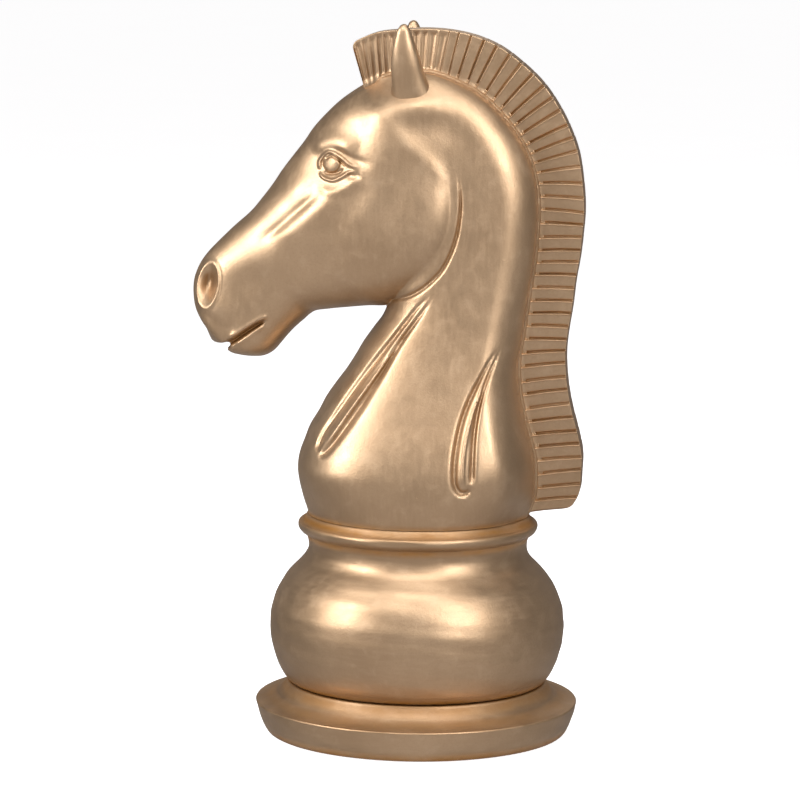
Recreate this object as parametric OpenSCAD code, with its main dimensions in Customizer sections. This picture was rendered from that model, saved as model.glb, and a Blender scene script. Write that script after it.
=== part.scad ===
// Giant garden chess knight: a weighted turned base with a hollow two-part head that unscrews from it.
// The horse faces -X. The origin is on the floor, on the axis of the base.

/* [Foot flange] */
// Radius of the flange at its rim
flange_r = 115; // [112:1:140]
// Radius of the foot where it meets the floor
foot_r = 107; // [104:1:110]
// Height of the rim's upper edge
rim_h = 21.8; // [17:0.2:26.2]
// Height of the flange where the bulb stands on it
foot_h = 36.5; // [33:0.5:44]

/* [Bulb] */
// Largest radius of the bulb
bulb_r = 105; // [98:1:126]
// Radius of the waist under the collar
waist_r = 78; // [76:0.5:82]
// Height of the bulb, from flange to collar
bulb_h = 106; // [88:1:128]
// Wall thickness of the bulb
bulb_wall = 5; // [4:0.5:7]
// Height that the sand filling reaches above the flange
fill_h = 62; // [20:1:72]

/* [Collar] */
// Radius of the collar's lip
lip_r = 85.5; // [83:0.5:92]
// Height of the collar
collar_h = 14.5; // [13:0.5:18]

/* [Head] */
// Radius of the neck where it stands on the collar
neck_r = 78.4; // [76:0.2:80]
// Height of the head, from the joint to the tips of the ears
head_h = 347.5; // [288:0.5:417]
// Width of the head across the cheeks
head_w = 92; // [76:1:110]
// Wall thickness of the head's two halves
head_wall = 5; // [4:0.5:7]
// Thickness of the mane
mane_t = 26; // [21:1:28]
// Depth of the mane's tongue between the two halves
tongue_l = 10; // [7:1:12]

/* [Threads and screws] */
// Radius of the neck's threaded spigot
spigot_r = 34; // [28:0.5:38]
// Travel of the head per turn
neck_pitch = 6; // [4:0.5:8]
// Turns that free the head
neck_turns = 3; // [2:1:3]
// Radius of the filler plug's thread
plug_r = 13; // [10:0.5:16]
// Radius of the screws' shanks
screw_r = 2.5; // [2:0.25:3]
// Radius of the screws' heads
screw_head_r = 4.6; // [4:0.2:5.6]

/* [Fits] */
// Radial clearance of a screwed or turning fit
running_gap = 0.05; // [0.02:0.01:0.1]
// Clearance of parts that are fixed into each other
fit_gap = 0.3; // [0.1:0.05:0.4]
// Radial clearance around the screws
screw_gap = 0.1; // [0.05:0.05:0.3]

/* [Hidden] */
$fn = 96;

gold = [0.74, 0.62, 0.46];
steel = [0.62, 0.63, 0.65];
rubber = [0.12, 0.12, 0.12];
sand = [0.72, 0.62, 0.45];
moulding = [0.22, 0.22, 0.23];

// Levels, from the floor up
pad_t = 3;
pad_proud = 0.8;
cover_t = 6;
cover_top = pad_t + cover_t;
web_t = 6.5;
bulb_foot_t = 6.5;
bulb_roof_t = 6;
collar_z = foot_h + bulb_h;
joint_z = collar_z + collar_h;
gasket_t = 2.5;
gasket_z = joint_z - gasket_t;
floor_t = 7;
floor_top = joint_z + floor_t;

// Radii of the base's inner parts
cover_r = foot_r - 7;
foot_bore_r = cover_r - 16;
web_bore_r = foot_bore_r - 14;
body_bolt_r = (foot_bore_r + web_bore_r) / 2;
cover_screw_r = (cover_r + foot_bore_r) / 2;
cup_wall = 10;
cup_r = spigot_r + cup_wall;
cup_flange_r = cup_r + 18;
cup_flange_t = 4;
cup_floor_t = 3;
collar_bolt_r = (cup_r + cup_flange_r) / 2;
gasket_r = neck_r - 4;
gasket_bore_r = gasket_r - 16;
spigot_wall = 6;
spigot_flange_r = spigot_r + 26;
spigot_flange_t = 6;
spigot_screw_r = spigot_r + 15;
spigot_l = neck_pitch * neck_turns + 10;
spigot_z = joint_z - spigot_l;
cup_z = spigot_z - 2;

// Filler plug, off the axis so that the pad's middle stays whole
plug_x = -45;
plug_head_r = plug_r + 2.3;
plug_head_z = 0.9;
plug_seal_t = 1;
plug_seat_z = cover_top - 4;
plug_stem_top = cover_top + 3;

// Smooth curve through the points, with the given steps between each two
function curve_at(a, b, c, d, t) =
    0.5 * (2 * b + (c - a) * t + (2 * a - 5 * b + 4 * c - d) * t * t
    + (3 * b - a - 3 * c + d) * t * t * t);
function spline(p, steps) = [
    for (i = [0:len(p) - 2], k = [0:steps - 1])
        curve_at(p[max(i - 1, 0)], p[i], p[i + 1], p[min(i + 2, len(p) - 1)], k / steps),
    p[len(p) - 1]
];
function reversed(p) = [for (i = [len(p) - 1:-1:0]) p[i]];

// Outline of the flange: the side, the rim and the cove, as [radius, height]
flange_side = spline([[foot_r, pad_proud], [foot_r + (flange_r - foot_r) * 0.55, rim_h * 0.3],
    [foot_r + (flange_r - foot_r) * 0.87, rim_h * 0.65], [flange_r, rim_h]], 4);
bulb_foot_r = waist_r + (bulb_r - waist_r) * 0.39;
cove_w = flange_r - bulb_foot_r;
cove_h = foot_h - rim_h;
flange_cove = spline([for (p = [[0.98, 0.03], [0.74, 0.12], [0.47, 0.32], [0.27, 0.62],
    [0.17, 0.86], [0.1, 0.97], [0, 1]]) [bulb_foot_r + cove_w * p[0], rim_h + cove_h * p[1]]], 4);

// Outline of the bulb, as [share of the height, share of the way from waist to largest radius]
bulb_shape = [[0, 0.39], [0.042, 0.63], [0.152, 0.83], [0.288, 0.975], [0.39, 1], [0.505, 0.944],
    [0.627, 0.778], [0.731, 0.48], [0.835, 0.148], [0.91, 0], [1, 0.074]];
bulb_outline = spline([for (p = bulb_shape)
    [waist_r + (bulb_r - waist_r) * p[1], foot_h + bulb_h * p[0]]], 5);
bulb_top_r = bulb_outline[len(bulb_outline) - 1][0];

// Outline of the collar: lip and sloping top
lip_out = lip_r - bulb_top_r;
collar_outline = spline([[bulb_top_r, collar_z], [bulb_top_r + lip_out * 0.5, collar_z + collar_h * 0.1],
    [bulb_top_r + lip_out * 0.9, collar_z + collar_h * 0.25], [lip_r, collar_z + collar_h * 0.42],
    [lip_r - 0.4, collar_z + collar_h * 0.54], [lip_r - 1.4, collar_z + collar_h * 0.62],
    [neck_r + 2.6, collar_z + collar_h * 0.8], [neck_r + 0.2, joint_z - 0.2]], 4);

// The head's outlines are drawn for a neck of this radius, with the joint at this height,
// and for this height and width of the head. They follow the driving sizes from there.
drawn_neck_r = 78.4;
drawn_joint_z = 157;
drawn_head_h = 347.5;
drawn_head_w = 92;
kx = neck_r / drawn_neck_r;
kz = head_h / drawn_head_h;
kw = head_w / drawn_head_w;
function place(x, z) = [x * kx, joint_z + (z - drawn_joint_z) * kz];

// Sections of the neck: [front x, back x, height, half width]
neck_sections = [
    [-78.4, 78.4, 157, 78.4], [-80, 81, 163, 79.6], [-83.2, 86.5, 174, 81], [-85.6, 88.5, 190, 81],
    [-82.5, 85.5, 206, 78], [-76, 82.5, 222, 72.5], [-65.5, 79.5, 240, 65], [-51.6, 78, 260, 57.5],
    [-39.5, 80, 280, 51.5], [-27, 83, 300, 47.5], [-20, 87.2, 327, 44.4], [-18, 91, 350, 43.5],
    [-22, 92, 378, 43], [-34, 88, 405, 41.5], [-46, 78, 430, 38], [-49, 62, 450, 33],
    [-42, 44, 464, 27], [-28, 20, 476, 16]
];
neck_rings = [for (s = neck_sections)
    concat(place(s[0], s[2]), place(s[1], s[2]), [s[3] * kx])];

// Sections of the face: [x and height on the forehead or nose, x and height on the jaw, half width]
face_sections = [
    [-18, 468, 24, 436, 22], [-41, 461, 27, 406, 35], [-60, 447, 27.3, 376, 42.5],
    [-76.4, 430, 22, 345, 46], [-90.9, 410, 7, 321.5, 45.5], [-105, 390, -17, 307.5, 41.5],
    [-120.8, 370, -45, 304, 36], [-135, 357, -73.9, 300.3, 30.5], [-146, 346, -87, 289.7, 27],
    [-155.4, 335, -97.8, 278, 25.5], [-161.3, 321, -108, 268.5, 26.5], [-161, 308, -124, 267.5, 25.5],
    [-156.6, 295, -133.2, 269.6, 20], [-150, 281, -137, 275, 10]
];
face_rings = [for (s = reversed(face_sections))
    concat(place(s[0], s[1]), place(s[2], s[3]), [s[4] * kw])];

// Lines across the mane, from its seat on the neck to its outer edge: [x, height, x, height]
mane_lines = [
    [-41, 463, -49, 490], [-30, 467.5, -33, 497], [-15, 471.3, -17, 499.3], [0, 472.6, 1, 500.5],
    [14, 470.6, 20, 499.4], [28, 465, 38, 495.6], [40, 459.5, 55, 488.4], [51, 450.5, 71, 476.8],
    [60, 441, 84.5, 464], [68, 431, 95, 449.7], [75, 419.5, 104, 433], [80.5, 406.5, 110.8, 414.5],
    [84, 392, 114.4, 392], [85.3, 377, 115.5, 375], [84.8, 360, 114.6, 360], [83.4, 342, 112.9, 343],
    [81, 325, 110, 325], [78.3, 306, 108, 307], [75.7, 287, 105, 286.5], [73, 268, 104, 271.5],
    [74, 249, 105.3, 253.5], [77.3, 231, 108.5, 236], [81.8, 214, 113.5, 217.5], [85.3, 200, 117, 203],
    [86.1, 186, 116.6, 190], [85.3, 173, 115, 175.5], [81, 160.9, 109, 164.3]
];
mane_rungs = [for (m = mane_lines) concat(place(m[0], m[1]), place(m[2], m[3]))];
locks_per_rung = 2;
seat_gap = 0.15;
seam_gap = 0.12;
lock_relief = 1.3;

// Points on a mane line: the inner end moved out from the neck by d
function along(m, d) =
    let (v = [m[2] - m[0], m[3] - m[1]])
    [m[0] + v[0] * d / norm(v), m[1] + v[1] * d / norm(v)];

// Ears: [x, y, height, half length along the head, half width] up the ear
ear_sections = [
    [-3, 23, 444, 13.5, 9], [-5, 26, 456, 13, 9.5], [-7.5, 30, 470, 11.5, 8.5],
    [-9, 32.5, 482, 9.5, 7.5], [-9.6, 34, 492, 6.8, 5.6], [-9.8, 34.8, 499.5, 4, 3.6],
    [-9.7, 35, 504.5, 0.8, 0.8]
];

// Features of the face: eye, nostril and mouth
eye_place = [-64.5, 36.5, 404.5];
eye_r = 7;
nostril_place = [-151, 24, 317];
mouth_start = [-139, 272];
mouth_end = [-109, 293];

// Pins across the seam: [x, height]
dowel_places = [[-55, 190], [-30, 285], [30, 330], [10, 440], [-70, 400], [-115, 325]];
dowel_r = 3;
dowel_l = 22;
boss_r = 7;
mane_pin_places = [2, 8, 14, 20, 24];
mane_pin_r = 2;
tongue_t = 8;

// Points of a closed loop around a section whose two ends lie on the seam plane
ring_points = 24;
roundness = 2.3;
function bulged(v) = sign(v) * pow(abs(v), 2 / roundness);
function ring(r, inset) =
    let (a = [r[0], r[1]], b = [r[2], r[3]], m = (a + b) / 2, h = (b - a) / 2,
        k = (norm(h) - inset) / norm(h), w = r[4] - inset)
    [for (i = [0:ring_points - 1])
        let (t = 360 * i / ring_points, c = bulged(cos(t)) * k, s = bulged(sin(t)) * w)
        [m[0] + h[0] * c, s, m[1] + h[1] * c]];

// Solid through a row of loops that all have the same number of points,
// each anticlockwise when looked at against the direction of the row
module sweep(loops) {
    n = len(loops[0]);
    last = len(loops) - 1;
    points = [for (l = loops, p = l) p];
    sides = [for (j = [0:last - 1], i = [0:n - 1])
        let (a = j * n + i, b = j * n + (i + 1) % n, c = a + n, d = b + n)
        each [[a, c, d], [a, d, b]]];
    first_cap = [for (i = [0:n - 1]) i];
    last_cap = [for (i = [n - 1:-1:0]) last * n + i];
    polyhedron(points, concat([first_cap], sides, [last_cap]), convexity = 8);
}

module loft(rings, inset) {
    sweep([for (r = spline(rings, 2)) ring(r, inset)]);
}

// Ring turned about the axis from an outline of [radius, height]
module turned(outline) {
    rotate_extrude() polygon(outline);
}

// Copies on a circle around the axis
module around(count, radius, start = 0) {
    for (i = [0:count - 1]) rotate([0, 0, start + i * 360 / count]) translate([radius, 0, 0]) children();
}

module bolt(z, length, head_t) {
    translate([0, 0, z - head_t / 2]) cylinder(h = length + head_t / 2, r = screw_r);
    translate([0, 0, z - head_t]) cylinder(h = head_t, r = screw_head_r);
}

// Everything behind the seat of the mane, or deeper in by the given depth
module behind_mane(depth) {
    rungs = spline(mane_rungs, 2);
    seat = [for (m = rungs) along(m, -depth)];
    far = [for (m = reversed(rungs)) along(m, 75)];
    translate([0, 150, 0]) rotate([90, 0, 0]) linear_extrude(height = 300) polygon(concat(seat, far));
}

// Slab of the mane's plan, from depth a to depth b beyond its seat
module mane_slab(a, b, thickness) {
    rungs = spline(mane_rungs, 2);
    sweep([for (m = rungs) let (p = along(m, a), q = along(m, b), t = thickness / 2)
        [[p[0], t, p[1]], [q[0], t, q[1]], [q[0], -t, q[1]], [p[0], -t, p[1]]]]);
}

module pin_across(p, radius, length) {
    translate([p[0], length / 2, p[1]]) rotate([90, 0, 0]) cylinder(h = length, r = radius);
}

module head_outside() {
    difference() {
        union() {
            loft(neck_rings, 0);
            loft(face_rings, 0);
            for (s = [-1, 1]) face_point(eye_place, s) sphere(r = eye_r, $fn = 24);
        }
        behind_mane(seat_gap);
        for (s = [-1, 1]) face_point(nostril_place, s)
            scale([7, 7, 14]) sphere(r = 1, $fn = 20);
        mouth_slit();
    }
}

module face_point(p, side) {
    q = place(p[0], p[2]);
    translate([q[0], side * p[1] * kw, q[1]]) children();
}

module mouth_slit() {
    a = place(mouth_start[0], mouth_start[1]);
    b = place(mouth_end[0], mouth_end[1]);
    for (s = [-1, 1]) translate([a[0], s * 26 * kw, a[1]])
        rotate([0, -atan2(b[1] - a[1], b[0] - a[0]), 0])
            translate([0, -10, -1.6]) cube([norm(b - a), 20, 3.2]);
}

module head_cavity() {
    difference() {
        union() {
            loft(neck_rings, head_wall);
            loft(face_rings, head_wall + 1);
        }
        behind_mane(tongue_l + head_wall);
        translate([-200, -200, joint_z - 1]) cube([400, 400, floor_t + 1]);
        for (p = dowel_places) pin_across(place(p[0], p[1]), boss_r, 200, $fn = 20);
        for (s = [-1, 1]) face_point(nostril_place, s)
            scale([7 + head_wall, 7 + head_wall, 14 + head_wall]) sphere(r = 1, $fn = 20);
    }
}

// One half of the head on side s; resize keeps the size and joins it all into one mesh
module head_half(s) {
    resize([0, 0, 0]) difference() {
        intersection() {
            head_outside();
            translate([-250, s > 0 ? seam_gap / 2 : -150 - seam_gap / 2, 0]) cube([500, 150, 700]);
        }
        head_cavity();
        mane_slab(-tongue_l - fit_gap, 1, tongue_t + 2 * fit_gap);
        for (i = mane_pin_places)
            pin_across(along(mane_rungs[i], -tongue_l / 2), mane_pin_r + screw_gap, 24, $fn = 16);
        for (p = dowel_places) pin_across(place(p[0], p[1]), dowel_r + screw_gap, dowel_l + 1, $fn = 16);
        translate([0, 0, joint_z - 1]) cylinder(h = floor_t + 2, r = spigot_r + 2, $fn = 48);
        around(4, spigot_screw_r, 45) {
            translate([0, 0, joint_z - 1]) cylinder(h = floor_t + 2, r = screw_r + 2 * screw_gap, $fn = 20);
            translate([0, 0, joint_z - 1]) cylinder(h = 4, r = screw_head_r + 2 * screw_gap, $fn = 24);
        }
    }
}

module ear(s) {
    resize([0, 0, 0]) difference() {
        sweep([for (e = spline(ear_sections, 2))
            let (q = place(e[0], e[2]))
            [for (i = [0:15]) let (t = 360 * i / 16)
                [q[0] + e[3] * cos(t), s * (e[1] + e[4] * sin(s * t)) * kw, q[1]]]]);
        head_outside();
    }
}

module foot_flange() {
    color(gold) difference() {
        turned(concat(flange_side, flange_cove, [[web_bore_r, foot_h], [web_bore_r, foot_h - web_t],
            [foot_bore_r, foot_h - web_t], [foot_bore_r, cover_top], [cover_r, cover_top],
            [cover_r, pad_proud]]));
        around(6, body_bolt_r) translate([0, 0, foot_h - web_t - 1])
            cylinder(h = web_t + 2, r = screw_r + screw_gap);
        around(6, cover_screw_r, 30) translate([0, 0, cover_top - 1])
            cylinder(h = 12, r = screw_r + screw_gap);
    }
}

module base_pad() {
    color(rubber) difference() {
        cylinder(h = pad_t, r = cover_r - fit_gap);
        translate([plug_x, 0, -1]) cylinder(h = pad_t + 2, r = plug_head_r + 2);
    }
}

module base_cover() {
    color(moulding) difference() {
        translate([0, 0, pad_t]) cylinder(h = cover_t, r = cover_r - fit_gap);
        around(6, cover_screw_r, 30) {
            translate([0, 0, pad_t - 1]) cylinder(h = cover_t + 2, r = screw_r + screw_gap);
            translate([0, 0, pad_t - 1]) cylinder(h = 4, r = screw_head_r + screw_gap);
        }
        translate([plug_x, 0, pad_t - 1]) {
            cylinder(h = cover_t + 2, r = plug_r + running_gap);
            cylinder(h = plug_seat_z - pad_t + 1, r = plug_head_r + fit_gap);
        }
    }
}

module cover_screws() {
    color(steel) around(6, cover_screw_r, 30) bolt(pad_t + 2.9, cover_t + 7, 2.6);
}

module plug_seal() {
    color(rubber) translate([plug_x, 0, plug_seat_z - plug_seal_t]) difference() {
        cylinder(h = plug_seal_t, r = plug_head_r);
        translate([0, 0, -1]) cylinder(h = plug_seal_t + 2, r = plug_r + fit_gap);
    }
}

module filler_plug() {
    head_t = plug_seat_z - plug_seal_t - plug_head_z;
    color(moulding) translate([plug_x, 0, 0]) difference() {
        union() {
            translate([0, 0, plug_head_z]) cylinder(h = head_t, r = plug_head_r);
            translate([0, 0, plug_head_z + 1]) cylinder(h = plug_stem_top - plug_head_z - 1, r = plug_r);
        }
        translate([-plug_head_r * 0.7, -1.5, plug_head_z - 1]) cube([plug_head_r * 1.4, 3, 3]);
    }
}

module bulb_shell() {
    low = foot_h + bulb_foot_t;
    high = collar_z - bulb_roof_t;
    inner = [for (p = reversed(bulb_outline))
        if (p[1] > low + 1 && p[1] < high - 1) [p[0] - bulb_wall, p[1]]];
    color(gold) difference() {
        turned(concat(bulb_outline, [[cup_r + fit_gap, collar_z], [cup_r + fit_gap, high],
            [inner[0][0], high]], inner, [[inner[len(inner) - 1][0], low], [web_bore_r, low],
            [web_bore_r, foot_h]]));
        around(6, body_bolt_r) translate([0, 0, foot_h - 1])
            cylinder(h = bulb_foot_t + 2, r = screw_r + screw_gap);
        around(4, collar_bolt_r) translate([0, 0, high - 1])
            cylinder(h = bulb_roof_t + 2, r = screw_r + screw_gap);
    }
}

module body_bolts() {
    color(steel) around(6, body_bolt_r) bolt(foot_h - web_t, web_t + bulb_foot_t - 0.5, 3.2);
}

module ballast() {
    low = foot_h + bulb_foot_t + fit_gap;
    top = foot_h + fill_h;
    side = [for (p = bulb_outline) if (p[1] > low + 1 && p[1] < top) [p[0] - bulb_wall - fit_gap, p[1]]];
    color(sand) difference() {
        turned(concat([[0, cover_top + fit_gap], [web_bore_r - fit_gap, cover_top + fit_gap],
            [web_bore_r - fit_gap, low], [side[0][0], low]], side,
            [[side[len(side) - 1][0], top], [0, top]]));
        translate([plug_x, 0, cover_top]) cylinder(h = plug_stem_top - cover_top + 2, r = plug_r + 2);
    }
}

module collar_ring() {
    recess_top = collar_z + cup_flange_t + fit_gap;
    color(gold) difference() {
        turned(concat(collar_outline, [[gasket_r + fit_gap, joint_z - 0.2],
            [gasket_r + fit_gap, gasket_z], [cup_r + fit_gap, gasket_z], [cup_r + fit_gap, recess_top],
            [cup_flange_r + fit_gap, recess_top], [cup_flange_r + fit_gap, collar_z]]));
        around(4, collar_bolt_r) translate([0, 0, recess_top - 1]) cylinder(h = 5, r = screw_r + screw_gap);
    }
}

module socket_cup() {
    color(moulding) difference() {
        union() {
            translate([0, 0, cup_z - cup_floor_t]) cylinder(h = gasket_z - cup_z + cup_floor_t - 0.2, r = cup_r);
            translate([0, 0, collar_z]) cylinder(h = cup_flange_t, r = cup_flange_r);
        }
        translate([0, 0, cup_z]) cylinder(h = joint_z, r = spigot_r + running_gap);
        around(4, collar_bolt_r) translate([0, 0, collar_z - 1])
            cylinder(h = cup_flange_t + 2, r = screw_r + screw_gap);
    }
}

module collar_bolts() {
    color(steel) around(4, collar_bolt_r)
        bolt(collar_z - bulb_roof_t, bulb_roof_t + cup_flange_t + 3.8, 3.2);
}

module neck_gasket() {
    color(rubber) translate([0, 0, gasket_z]) difference() {
        cylinder(h = gasket_t, r = gasket_r);
        translate([0, 0, -1]) cylinder(h = gasket_t + 2, r = gasket_bore_r);
    }
}

module neck_spigot() {
    color(moulding) difference() {
        union() {
            translate([0, 0, spigot_z]) cylinder(h = floor_top - spigot_z + 1, r = spigot_r);
            translate([0, 0, floor_top]) cylinder(h = spigot_flange_t, r = spigot_flange_r);
        }
        translate([0, 0, spigot_z - 1]) cylinder(h = floor_top - spigot_z + 20, r = spigot_r - spigot_wall);
        around(4, spigot_screw_r, 45) translate([0, 0, floor_top - 1])
            cylinder(h = spigot_flange_t + 2, r = screw_r + screw_gap);
    }
}

module spigot_screws() {
    color(steel) around(4, spigot_screw_r, 45) bolt(joint_z + 3, floor_t + 2, 2.6);
}

module head_shell_left() {
    color(gold) head_half(-1);
}

module head_shell_right() {
    color(gold) head_half(1);
}

module shell_dowels() {
    color(steel) for (p = dowel_places) pin_across(place(p[0], p[1]), dowel_r, dowel_l);
}

module mane_comb() {
    rungs = spline(mane_rungs, 2 * locks_per_rung);
    color(gold) resize([0, 0, 0]) difference() {
        union() {
            sweep([for (i = [0:len(rungs) - 1])
                let (m = rungs[i], t = mane_t / 2 - (i % 2) * lock_relief)
                [[m[0], t, m[1]], [m[2], t, m[3]], [m[2], -t, m[3]], [m[0], -t, m[1]]]]);
            mane_slab(-tongue_l, 1, tongue_t);
        }
        for (i = mane_pin_places)
            pin_across(along(mane_rungs[i], -tongue_l / 2), mane_pin_r + screw_gap, 24, $fn = 16);
    }
}

module mane_pins() {
    color(steel) for (i = mane_pin_places)
        pin_across(along(mane_rungs[i], -tongue_l / 2), mane_pin_r, 20);
}

module ear_left() {
    color(gold) ear(-1);
}

module ear_right() {
    color(gold) ear(1);
}

foot_flange();
base_pad();
base_cover();
cover_screws();
plug_seal();
filler_plug();
bulb_shell();
body_bolts();
ballast();
collar_ring();
socket_cup();
collar_bolts();
neck_gasket();
neck_spigot();
spigot_screws();
head_shell_left();
head_shell_right();
shell_dowels();
mane_comb();
mane_pins();
ear_left();
ear_right();
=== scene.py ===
import math

import bmesh
import bpy
import numpy as np
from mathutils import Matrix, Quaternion, Vector


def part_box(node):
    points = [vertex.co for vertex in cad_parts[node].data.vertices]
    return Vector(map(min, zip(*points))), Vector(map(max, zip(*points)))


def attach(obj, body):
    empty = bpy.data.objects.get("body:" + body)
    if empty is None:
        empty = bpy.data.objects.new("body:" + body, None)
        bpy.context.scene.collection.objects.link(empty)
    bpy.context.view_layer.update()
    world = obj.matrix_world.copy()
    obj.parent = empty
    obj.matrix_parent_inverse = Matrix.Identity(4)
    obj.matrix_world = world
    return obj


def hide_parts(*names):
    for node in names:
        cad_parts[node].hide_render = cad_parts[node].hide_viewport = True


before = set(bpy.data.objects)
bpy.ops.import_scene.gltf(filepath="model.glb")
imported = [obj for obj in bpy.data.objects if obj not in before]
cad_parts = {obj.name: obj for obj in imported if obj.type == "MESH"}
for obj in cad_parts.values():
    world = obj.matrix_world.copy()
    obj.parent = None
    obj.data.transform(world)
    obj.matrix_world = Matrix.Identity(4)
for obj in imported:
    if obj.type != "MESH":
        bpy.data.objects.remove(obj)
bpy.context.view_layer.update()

# Giant garden chess knight. Shapes below are in millimetres in the frame's axes: the horse faces -X,
# +Z is up and the plane y = 0 is the seam between the two halves of the head.
MM = 0.001
SEED = 7


def box_mm(node):
    lo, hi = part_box(node)
    return np.array(lo) / MM, np.array(hi) / MM


JOINT_Z = box_mm("head_shell_left")[0][2]
MANE_HALF = box_mm("mane_comb")[1][1]
FLANGE_R = box_mm("foot_flange")[1][0]
FLANGE_LOW = box_mm("foot_flange")[0][2]
COLLAR_Z = box_mm("bulb_shell")[1][2]
LIP_R = box_mm("collar_ring")[1][0]


# ---------------------------------------------------------------- curves and fields

def smooth(points, steps=8):
    """Catmull-Rom curve through rows of numbers."""
    p = np.array(points, float)
    q = np.vstack([p[:1], p, p[-1:]])
    t = (np.arange(steps) / steps)[:, None]
    out = []
    for a, b, c, d in zip(q[:-3], q[1:-2], q[2:-1], q[3:]):
        out.append(0.5 * (2 * b + (c - a) * t + (2 * a - 5 * b + 4 * c - d) * t**2
                          + (3 * b - a - 3 * c + d) * t**3))
    return np.vstack(out + [p[-1:]])


def ramp(x, a, b):
    """Smooth step from 0 at a to 1 at b."""
    t = np.clip((x - a) / (b - a), 0, 1)
    return t * t * (3 - 2 * t)


def soft_max(a, b, r):
    """The larger of two fields, blended where they differ by less than about r."""
    return 0.5 * (a + b + np.sqrt((a - b) ** 2 + r**2))


# The head's side is a relief: its half thickness over a fine grid of the plane y = 0
CELL = 0.5
GX = np.arange(-172, 104, CELL)
GZ = np.arange(JOINT_Z - 6, 488, CELL)
X, Z = np.meshgrid(GX, GZ, indexing="ij")


def near(points, reach):
    """Slices of the grid that lie within reach of the points."""
    p = np.array(points, float)
    i0, i1 = np.searchsorted(GX, [p[:, 0].min() - reach, p[:, 0].max() + reach])
    k0, k1 = np.searchsorted(GZ, [p[:, 1].min() - reach, p[:, 1].max() + reach])
    return slice(i0, i1), slice(k0, k1)


def distance(curve, x, z):
    """Distance of each point from the curve, the share of the curve's length there, and the side."""
    c = np.array(curve, float)
    seg = np.linalg.norm(np.diff(c, axis=0), axis=1)
    run = np.concatenate([[0], np.cumsum(seg)])
    best = np.full(x.shape, 1e9)
    share = np.zeros(x.shape)
    side = np.zeros(x.shape)
    for a, b, length, start in zip(c[:-1], c[1:], seg, run[:-1]):
        if length < 1e-9:
            continue
        d = (b - a) / length
        s = np.clip((x - a[0]) * d[0] + (z - a[1]) * d[1], 0, length)
        dx, dz = x - a[0] - s * d[0], z - a[1] - s * d[1]
        dist = np.hypot(dx, dz)
        closer = dist < best
        best = np.where(closer, dist, best)
        share = np.where(closer, (start + s) / run[-1], share)
        side = np.where(closer, np.sign(d[0] * dz - d[1] * dx), side)
    return best, share, side


# Neck: [height, front, back, half width]. The back runs on behind the mane's seat.
NECK = [
    [150, -77.5, 78.5, 78], [157, -78.4, 78.8, 78.4], [160, -79, 80.8, 79], [166, -81, 84.6, 80],
    [172, -82.6, 88, 80.8], [180, -84.4, 92, 81.4], [190, -85.6, 96, 81], [200, -84.4, 99, 79],
    [210, -80.9, 100, 76], [220, -77, 100, 72.4], [230, -71, 99, 68.6], [240, -65.8, 98, 65],
    [250, -59, 97, 61.6], [260, -51.6, 96, 58.4], [270, -45.3, 96, 55.4], [280, -39.5, 97, 52.8],
    [290, -32.5, 98, 50.6], [300, -25.5, 100, 48.8], [312, -22, 103, 47], [330, -24, 108, 45],
    [350, -26, 112, 43.6], [375, -30, 114, 42.4], [400, -38, 112, 41], [425, -42, 106, 38.6],
    [450, -40, 98, 36], [475, -26, 88, 32], [500, -8, 76, 27],
]
# Face: [forehead or nose x, z, jaw x, z, half width, fullness at the nose, fullness at the jaw]
FACE = [
    [0, 480, 44, 430, 14, 0.1, 0.2], [-24, 472, 40, 410, 35, 0.1, 0.4],
    [-42.7, 460, 37, 392, 41.5, 0.05, 0.6], [-56.9, 450, 36, 374, 44.5, 0, 0.7],
    [-67.5, 440, 34, 358, 46.2, -0.05, 0.75], [-76.4, 430, 29, 343, 46.8, -0.1, 0.75],
    [-83.2, 420, 21, 330, 46.6, -0.12, 0.7], [-90.9, 410, 9, 319, 45.6, -0.15, 0.6],
    [-98.4, 400, -6, 310.5, 43.6, -0.15, 0.45], [-105, 390, -22, 305.5, 41, -0.15, 0.3],
    [-112.5, 380, -36, 304.8, 38.2, -0.12, 0.2], [-120.8, 370, -50, 303.4, 35.2, -0.1, 0.15],
    [-132, 360, -64, 301.8, 32, -0.05, 0.12], [-142.3, 350, -75, 299.8, 29, 0, 0.12],
    [-150, 342, -83, 293.4, 27, 0.05, 0.15], [-155.4, 335, -91.2, 285.8, 26, 0.1, 0.2],
    [-159, 328, -97.8, 278, 26, 0.15, 0.25], [-161.1, 321, -104, 271, 26.2, 0.2, 0.3],
    [-161.5, 313, -111, 267.4, 26, 0.2, 0.3], [-160.4, 304, -120, 267, 24.6, 0.2, 0.3],
    [-157.4, 296.5, -127, 267.8, 22, 0.15, 0.3], [-153, 289.4, -132, 269, 18, 0.1, 0.25],
    [-150.2, 282, -134.6, 272, 12.5, 0.1, 0.2], [-148.4, 277.6, -137, 273.6, 7, 0, 0],
]
# Seat of the mane on the neck, from the forehead over the crest and down the back
SEAT = [
    [-41, 463], [-35, 465.3], [-30, 467.5], [-20, 470.6], [-8, 472.2], [4, 472.5], [14, 470.6],
    [24, 466.8], [32, 463], [40, 459], [51, 450.5], [60, 441], [68, 431], [75, 419.5], [80.5, 406.5],
    [84, 392], [85.3, 377], [84.8, 360], [83.4, 342], [81, 325], [78.3, 306], [75.7, 287],
    [73, 268], [74, 249], [77.3, 231], [81.8, 214], [85.3, 200], [86.1, 186], [85.3, 173], [81, 160.9],
]


def section(u, width, low, high):
    """Square of the half thickness across a section, with u from -1 to 1; fuller sections are squarer."""
    full = np.where(u < 0, low, high)
    return width**2 * (1 - u**2) * (1 + full * u**2) ** 2


def signed_root(g):
    return np.sign(g) * np.sqrt(np.abs(g))


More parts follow.
